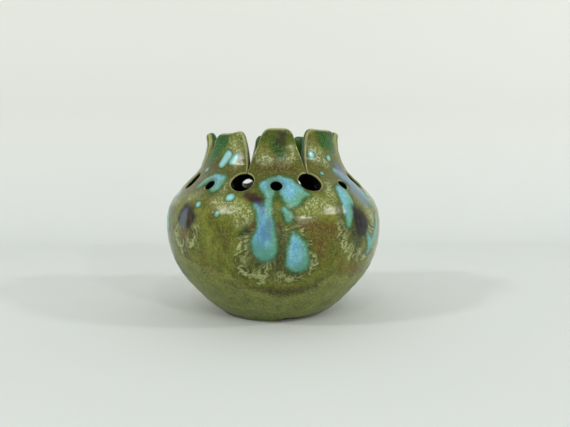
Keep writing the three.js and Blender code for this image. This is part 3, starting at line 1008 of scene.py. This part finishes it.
# painted shadow on the walls of the holes
BORE_SHADOW = (20, 18, 12)
CLAY = (128, 104, 76)
PALE_CLAY = (150, 124, 92)
FLOOR_PAINT = (204, 210, 207)
FLOOR_PALE_PAINT = (208, 213, 210)
# paler than the floor: partly the wall's own paint, partly painted light
WALL_PAINT_AND_LIGHT = (219, 220, 216)
SKYLIGHT = (222, 222, 217)

GLAZE_IOR = 1.38
TEXTURE_DEPTH = 0.2  # mm, of the fine unevenness that the glaze has everywhere


class Graph:
    """Short ways to make the nodes of one material. Values are sockets or plain numbers."""

    def __init__(self, name):
        self.material = bpy.data.materials.new(name)
        self.material.use_nodes = True
        self.tree = self.material.node_tree
        self.shader = self.tree.nodes["Principled BSDF"]

    def put(self, value, socket):
        """Links or sets a socket. A colour is given as seen, in sRGB from 0 to 255."""
        if isinstance(value, bpy.types.NodeSocket):
            self.tree.links.new(value, socket)
        elif socket.type == "RGBA":
            socket.default_value = (*under_gloss(value), 1)
        else:
            socket.default_value = value

    def node(self, kind, inputs, output=0, **settings):
        """Makes a node with these settings and inputs, and returns one of its outputs."""
        made = self.tree.nodes.new(kind)
        for key, value in settings.items():
            setattr(made, key, value)
        for socket, value in inputs.items():
            self.put(value, made.inputs[socket])
        return made.outputs[output]

    def math(self, operation, a, b, clamp=False):
        return self.node("ShaderNodeMath", {0: a, 1: b}, operation=operation, use_clamp=clamp)

    def times(self, a, b):
        return self.math("MULTIPLY", a, b)

    def plus(self, a, b):
        return self.math("ADD", a, b)

    def step(self, value, low, high):
        """0 below low, 1 above high, smooth between. With high below low it runs the other way."""
        inputs = {"Value": value, "From Min": min(low, high), "From Max": max(low, high),
                  "To Min": int(low > high), "To Max": int(low < high)}
        return self.node("ShaderNodeMapRange", inputs, interpolation_type="SMOOTHSTEP")

    def mix(self, share, a, b):
        """Colour a, turning into colour b as share goes from 0 to 1."""
        return self.node("ShaderNodeMix", {0: share, 6: a, 7: b}, 2, data_type="RGBA")

    def between(self, share, a, b):
        """Number a, turning into number b as share goes from 0 to 1."""
        return self.node("ShaderNodeMix", {0: share, 2: a, 3: b}, data_type="FLOAT")

    def layers(self, colour, *layers):
        """A colour with others laid over it: each one's colour, its share, 0 to 1, and times what."""
        for other, share, most in layers:
            colour = self.mix(share if most == 1 else self.times(share, most), colour, other)
        return colour

    def value(self, name):
        return self.node("ShaderNodeAttribute", {}, "Fac", attribute_name=name)

    def over(self, colour, name, ragged):
        """A stain attribute laid over a colour; the one named under holds the painted shade too. Its
        own colour is already weighted by its strength.
        """
        stain = self.node("ShaderNodeAttribute", {}, "Color", attribute_name=name)
        weight = stain.node.outputs["Alpha"]
        unweighted = self.math("DIVIDE", 1.0, self.math("MAXIMUM", weight, 0.001))
        shade = self.node("ShaderNodeVectorMath", {0: stain, "Scale": unweighted}, operation="SCALE")
        border = self.times(ragged, self.step(weight, 0.0, 0.3))
        return self.mix(self.math("ADD", weight, border, clamp=True), colour, shade)

    def noise(self, vector, size, detail=2.0, roughness=0.5, distortion=0.0):
        """Noise of 0 to 1 whose patches are about this many mm across."""
        inputs = {"Vector": vector, "Scale": 1 / size, "Detail": detail, "Roughness": roughness,
                  "Distortion": distortion}
        return self.node("ShaderNodeTexNoise", inputs, "Fac", normalize=True)

    def centred_noise(self, vector, size, **settings):
        """The same noise round 0 instead of round 0.5."""
        return self.math("SUBTRACT", self.noise(vector, size, **settings), 0.5)

    def stretched(self, vector, share):
        """The same places with their heights drawn in, so that noise there runs into streaks."""
        return self.node("ShaderNodeVectorMath", {0: vector, 1: (1, 1, share)}, operation="MULTIPLY")

    def position(self):
        """Place on the pot, in mm."""
        metres = self.node("ShaderNodeTexCoord", {}, "Object")
        return self.node("ShaderNodeVectorMath", {0: metres, "Scale": 1 / MM}, operation="SCALE")


class Glaze(Graph):
    """The pot's one glaze, built up as layers of colour on an olive ground."""

    def __init__(self):
        super().__init__("frog_glaze")
        self.place = self.position()
        self.grain = self.noise(self.place, 0.85, detail=3, roughness=0.75)
        self.mottle = self.noise(self.place, 2.6, detail=4, roughness=0.65)
        self.ragged = self.centred_noise(self.place, 2.4, detail=3, roughness=0.6)
        self.above_dip = self.ragged_value("above_dip", 4.0)
        self.below_dip = self.step(self.above_dip, 1.0, -1.5)
        self.run = self.ragged_value("blue", 1.4)
        self.dab = self.ragged_value("dab", 0.8)

        colour = self.feathers(self.flecks_and_highlights(self.ground()))
        colour = self.over(self.dabs(self.runs(colour)), "over", self.ragged)
        texture = self.plus(self.times(self.grain, 0.25), self.times(self.mottle, 0.75))
        relief = self.node("ShaderNodeBump", {"Distance": TEXTURE_DEPTH * MM, "Height": texture})
        self.put(self.edges(colour), self.shader.inputs["Base Color"])
        self.put(self.dullness(), self.shader.inputs["Roughness"])
        self.put(relief, self.shader.inputs["Normal"])
        self.shader.inputs["IOR"].default_value = GLAZE_IOR

    def ragged_value(self, name, reach):
        """A distance in mm, made uneven by up to about half of reach."""
        return self.plus(self.value(name), self.times(self.ragged, reach))

    def speckled(self, colour, speckle, above, below):
        """A colour with grains over it: for above and below the dip line, their step and strength."""
        strengths = [self.between(self.step(self.grain, low, high), 0.0, most)
                     for low, high, most in (above, below)]
        return self.mix(self.between(self.below_dip, *strengths), colour, speckle)

    def ground(self):
        """Olive glaze, browner in places, with a fine pale speckle, and plainer below the dip line."""
        veil = self.noise(self.stretched(self.place, 0.35), 5.0, detail=3, roughness=0.6)
        cloud = self.noise(self.place, 18.0, detail=3)
        border = self.times(self.step(self.above_dip, -4.5, -2.0), self.step(self.above_dip, 0.5, -1.5))
        colour = self.layers(
            self.mix(self.step(cloud, 0.42, 0.6), OLIVE, BROWN_OLIVE),
            (MOTTLE, self.step(self.mottle, 0.5, 0.68), 0.55),
            (BELOW_DIP, self.below_dip, 0.9),
            (DIP_BORDER, border, 0.5),
            (PALE_VEIL, self.step(veil, 0.5, 0.66), 0.5),
            (DARK_VEIL, self.step(veil, 0.5, 0.34), 0.5),
            (NECK, self.value("neck"), 0.75),
        )
        colour = self.over(colour, "under", self.ragged)
        colour = self.speckled(colour, PALE_GRAIN, (0.5, 0.62, 0.3), (0.5, 0.6, 0.6))
        return self.speckled(colour, DARK_GRAIN, (0.5, 0.38, 0.35), (0.48, 0.36, 0.45))

    # Khaki flecks, which are painted highlight where they lie at the front's highlights.
    def flecks_and_highlights(self, colour):
        fleck_and_highlight = self.noise(self.place, 1.0, detail=4, roughness=0.7, distortion=0.6)
        fleck_and_highlight_area = self.value("fleck_and_highlight")
        drawn = self.times(fleck_and_highlight_area, self.step(fleck_and_highlight, 0.5, 0.57))
        return self.layers(colour, (FLECK_AND_HIGHLIGHT_HAZE, fleck_and_highlight_area, 0.35), (FLECK_AND_HIGHLIGHT, drawn, 1))

    def feathers(self, colour):
        """Feathery crystals inside the rim of each pool, in fingers of fine filaments."""
        pool = self.value("pool")
        feather = self.value("feather")
        bend = self.times(self.centred_noise(self.place, 5.0, detail=2), 7.0)
        along = {0: self.plus(self.value("streak"), bend), 1: self.times(pool, 0.4)}
        flow = self.node("ShaderNodeCombineXYZ", along)
        filaments = self.noise(flow, 1.5, detail=4, roughness=0.65, distortion=1.0)
        clumps = self.between(self.step(self.noise(self.place, 4.0, detail=2), 0.36, 0.54), 0.5, 1.0)
        jagged = self.plus(pool, self.times(self.centred_noise(flow, 2.8, detail=2), 10.0))
        rim = self.times(self.step(jagged, 0.0, 0.6), self.step(jagged, 8.5, 3.5))
        shadow = self.times(self.times(self.step(jagged, -0.8, 0.4), self.step(jagged, 9.0, 5.0)), 0.6)
        drawn = self.times(self.times(rim, feather), self.step(filaments, 0.44, 0.54))
        shade = self.mix(self.step(self.grain, 0.4, 0.6), FEATHER, PALE_FEATHER)
        return self.layers(colour, (FEATHER_SHADOW, self.times(shadow, feather), 1),
                           (shade, self.times(drawn, clumps), 1))

    def runs(self, colour):
        """Blue runs, green where they are thick at their lower right, with a thin dark outline."""
        thick = self.step(self.ragged_value("thick", 4.0), -0.2, 4.0)
        streaks = self.noise(self.stretched(self.place, 0.4), 1.8, detail=4, roughness=0.7)
        hue = self.noise(self.place, 8.0, detail=2)
        sky = self.layers(
            self.mix(self.step(hue, 0.4, 0.6), SKY, DEEP_SKY),
            (PALE_STREAK, self.step(streaks, 0.5, 0.7), 0.5),
            (DARK_STREAK, self.step(streaks, 0.48, 0.3), 0.5),
        )
        blue = self.mix(thick, self.mix(streaks, TEAL, PALE_TEAL), sky)
        blue = self.layers(
            self.mix(self.step(self.run, -0.2, 1.6), RUN_RIM, blue),
            (DARK_BLUE_GRAIN, self.step(self.grain, 0.5, 0.35), 0.3),
            (PALE_BLUE_GRAIN, self.step(self.grain, 0.52, 0.66), 0.35),
        )
        return self.layers(colour, (RUN_OUTLINE, self.step(self.run, -2.0, -0.2), 0.6),
                           (blue, self.step(self.run, -0.8, 0.7), 1))

    def dabs(self, colour):
        dab = self.mix(self.step(self.dab, 0.0, 1.4), DAB_RIM, DAB)
        return self.layers(colour, (DAB_OUTLINE, self.step(self.dab, -0.9, -0.2), 0.6),
                           (dab, self.step(self.dab, -0.3, 0.3), 1))

    def edges(self, colour):
        """Thin glaze on the cut edges, partly painted highlight, with painted shade just behind them;
        green glaze inside, turning to painted shade lower down; painted shadow in the bores; bare clay
        under the foot.
        """
        edge = self.ragged_value("edge", 0.4)
        inside = self.value("inside")
        # thin: the pale rim of each cut edge, partly thin glaze and partly painted highlight
        thin = self.times(self.step(edge, 0.6, 0.25), self.step(inside, 0.4, 0.1))
        off_runs = self.between(self.step(self.run, -2.0, -0.5), 0.7, 0.0)
        return self.layers(
            colour,
            # painted shade behind each cut edge
            (EDGE_PAINTED_SHADE, self.step(edge, 2.6, 0.8), 0.35),
            # green glaze inside the collar, turning to painted shade lower down the inside
            (self.mix(self.value("collar"), INSIDE_SHADE, INSIDE_COLLAR), self.step(inside, 0.2, 0.9), 0.95),
            (THIN_GLAZE_AND_HIGHLIGHT, self.times(thin, off_runs), 1),
            # painted shadow in the bores
            (BORE_SHADOW, self.step(self.value("bore_shadow"), 0.0, 0.25), 1),
            (self.mix(self.grain, CLAY, PALE_CLAY), self.value("bare"), 1),
        )

    def dullness(self):
        """Roughness: glossy above the dip line and on the blue, duller below it, matt on bare clay."""
        above = self.between(self.mottle, 0.03, 0.22)
        below = self.between(self.grain, 0.3, 0.45)
        dull = self.between(self.below_dip, above, below)
        dull = self.between(self.step(self.math("MAXIMUM", self.run, self.dab), -0.4, 0.6), dull, 0.14)
        return self.between(self.value("bare"), dull, 0.8)


def floor_material():
    """Matt pale paint, a little paler up the wall: partly the wall's own paint and partly
    painted light where the wall is lit more than the floor.
    """
    g = Graph("floor_paint_and_light")
    place = g.position()
    height = g.node("ShaderNodeSeparateXYZ", {0: place}, "Z")
    floor = g.mix(g.noise(place, 60.0, detail=3), FLOOR_PAINT, FLOOR_PALE_PAINT)
    # paler up the wall: partly painted light
    paint = g.mix(g.step(height, 0.0, 200.0), floor, WALL_PAINT_AND_LIGHT)
    g.put(paint, g.shader.inputs["Base Color"])
    g.shader.inputs["Roughness"].default_value = 0.8
    return g.material


def add_object(name, data):
    made = bpy.data.objects.new(name, data)
    bpy.context.scene.collection.objects.link(made)
    return made


def make_piece(name, attributes, material):
    """One piece of the pot as a closed mesh, shaded so that no line shows where it meets the next."""
    faces = surface.faces[name] + surface.caps.get(name, [])
    used = np.unique(np.concatenate([np.array(face) for face in faces]))
    number = np.full(surface.count, -1)
    number[used] = np.arange(len(used))
    number = number.tolist()
    mesh = bpy.data.meshes.new(f"{name}_skin")
    corners = [[number[i] for i in face] for face in faces]
    mesh.from_pydata((surface.place[used] * MM).tolist(), [], corners)
    mesh.shade_smooth()
    for key, values in attributes.items():
        coloured = values.ndim == 2
        kept = mesh.attributes.new(key, "FLOAT_COLOR" if coloured else "FLOAT", "POINT")
        kept.data.foreach_set("color" if coloured else "value", values[used].astype(np.float32).ravel())
    skin = sum(len(face) for face in surface.faces[name])
    loops = np.empty(len(mesh.loops), int)
    mesh.loops.foreach_get("vertex_index", loops)
    normals = surface.normals[used][loops]
    flat = np.empty(len(mesh.polygons) * 3)
    mesh.polygons.foreach_get("normal", flat)
    sides = [len(face) for face in faces]
    normals[skin:] = np.repeat(flat.reshape(-1, 3), sides, axis=0)[skin:]
    mesh.normals_split_custom_set(normals.tolist())
    mesh.materials.append(material)
    piece = add_object(f"{name}_skin", mesh)
    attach(piece, "root")
    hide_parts(name)


def make_pot():
    attributes = glaze_attributes()
    material = Glaze().material
    slots = {"bowl": "belly_glaze", "shoulder": "belly_glaze"}
    slots.update({petal.name: "collar_glaze" for petal in COLLAR})
    slots.update({lobe: "foot_glaze" for lobe in LOBES})
    for name, slot in slots.items():
        make_piece(name, attributes, material)


make_pot()


# ---- Floor, light and camera ----

def make_floor():
    """A pale floor that curves up into a wall behind the pot."""
    bend = [(FLOOR_BACK + FLOOR_BEND * math.sin(angle), FLOOR_BEND * (1 - math.cos(angle)))
            for angle in np.linspace(0, math.pi / 2, 25)]
    profile = [(-FLOOR_SIZE, 0.0)] + bend + [(FLOOR_BACK + FLOOR_BEND, FLOOR_SIZE)]
    sides = (-FLOOR_SIZE, FLOOR_SIZE)
    points = [(side, depth, height) for depth, height in profile for side in sides]
    faces = [(2 * i, 2 * i + 1, 2 * i + 3, 2 * i + 2) for i in range(len(profile) - 1)]
    mesh = bpy.data.meshes.new("floor")
    mesh.from_pydata(points, [], faces)
    mesh.shade_smooth()
    mesh.materials.append(floor_material())
    floor = add_object("floor", mesh)


def add_light(name, azimuth, elevation, size, power):
    """A soft oblong light. Azimuth 0 is in front of the pot, and it grows to the right."""
    light = bpy.data.lights.new(name, "AREA")
    light.shape = "RECTANGLE"
    light.size, light.size_y = size
    light.energy = power
    lamp = add_object(name, light)
    a, e = math.radians(azimuth), math.radians(elevation)
    direction = Vector((math.sin(a) * math.cos(e), -math.cos(a) * math.cos(e), math.sin(e)))
    lamp.location = LIGHT_TARGET + direction * LIGHT_DISTANCE
    lamp.rotation_euler = direction.to_track_quat("Z", "Y").to_euler()


def add_world():
    """An even pale sky."""
    world = bpy.data.worlds.new("studio")
    world.use_nodes = True
    background = world.node_tree.nodes["Background"]
    background.inputs["Color"].default_value = (*linear(SKYLIGHT), 1)
    background.inputs["Strength"].default_value = 1.0
    bpy.context.scene.world = world


def add_camera():
    """A table-top view of the pot's front from a little above its rim."""
    camera = bpy.data.cameras.new("camera")
    camera.sensor_width = 36
    camera.lens = CAMERA_LENS
    camera.clip_start = 0.01
    eye = add_object("camera", camera)
    eye.location = CAMERA_PLACE
    eye.rotation_euler = (math.radians(90 + CAMERA_PITCH), 0, math.radians(CAMERA_YAW))
    bpy.context.scene.camera = eye


make_floor()
add_world()
add_light("left_window", -60, 35, (0.18, 0.09), 5.6)
add_light("right_window", 69, 31, (0.15, 0.09), 5.0)
add_light("right_front_window", 33, 21, (0.07, 0.04), 3.2)
add_light("front_right_lamp", 18, 43, (0.06, 0.03), 1.5)
add_light("front_left_lamp", -10, 43, (0.06, 0.03), 1.2)
add_camera()
bpy.context.scene.view_settings.view_transform = "Standard"
